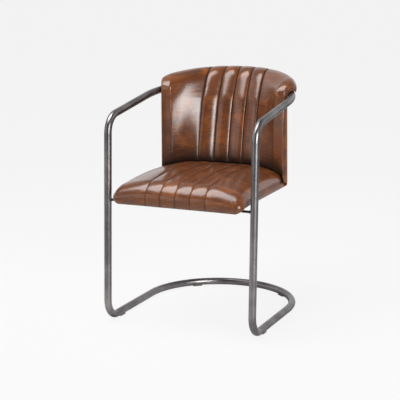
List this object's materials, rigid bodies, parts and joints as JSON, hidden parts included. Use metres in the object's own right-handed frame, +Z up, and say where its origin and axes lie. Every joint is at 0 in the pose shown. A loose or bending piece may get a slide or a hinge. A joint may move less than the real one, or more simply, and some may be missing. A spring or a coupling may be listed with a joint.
{
  "type": "leather dining chair",
  "caption": "Cantilever dining chair: a bent steel tube loop forms base, legs, arms and back bow, with a channelled leather seat and a wrap-round leather back rolled over the bow.",
  "frame": {"origin": "on the floor under the middle of the chair's outline", "axes": "+Z up, +Y towards the back of the chair, +X to the right as seen from the front"},
  "size_m": [0.524, 0.6164, 0.7972],
  "materials": {
    "steel_tube": "dark raw steel under clear lacquer",
    "leather": "aged brown leather, semi-gloss, mottled",
    "foam": "upholstery foam",
    "plywood": "raw birch plywood",
    "zinc_steel": "zinc plated",
    "nylon": "black nylon",
    "dust_cloth": "black non-woven dust cloth"
  },
  "bodies": {
    "root": {"back_board": "plywood", "back_border_left": "leather", "back_border_right": "leather", "back_bracket_left": "zinc_steel", "back_bracket_right": "zinc_steel", "back_foam": "foam", "back_inner_channel_left": "leather", "back_inner_channel_right": "leather", "back_outer_channel_left": "leather", "back_outer_channel_right": "leather", "back_outer_cover": "leather", "back_side_panel_left": "leather", "back_side_panel_right": "leather", "base_joint_sleeve": "steel_tube", "bow_bolts": "zinc_steel", "bow_inserts": "zinc_steel", "bow_joint_sleeve": "steel_tube", "bow_washers": "zinc_steel", "bracket_screws": "zinc_steel", "frame_tube_left": "steel_tube", "frame_tube_right": "steel_tube", "glide_front_left": "nylon", "glide_front_right": "nylon", "glide_rear_left": "nylon", "glide_rear_right": "nylon", "rod_clip_left": "zinc_steel", "rod_clip_right": "zinc_steel", "rod_clip_screws": "zinc_steel", "seat_board": "plywood", "seat_border_left": "leather", "seat_border_right": "leather", "seat_cross_rod": "steel_tube", "seat_dust_cover": "dust_cloth", "seat_foam": "foam", "seat_inner_channel_left": "leather", "seat_inner_channel_right": "leather", "seat_outer_channel_left": "leather", "seat_outer_channel_right": "leather", "seat_side_panel_left": "leather", "seat_side_panel_right": "leather"}
  },
  "joints": []
}
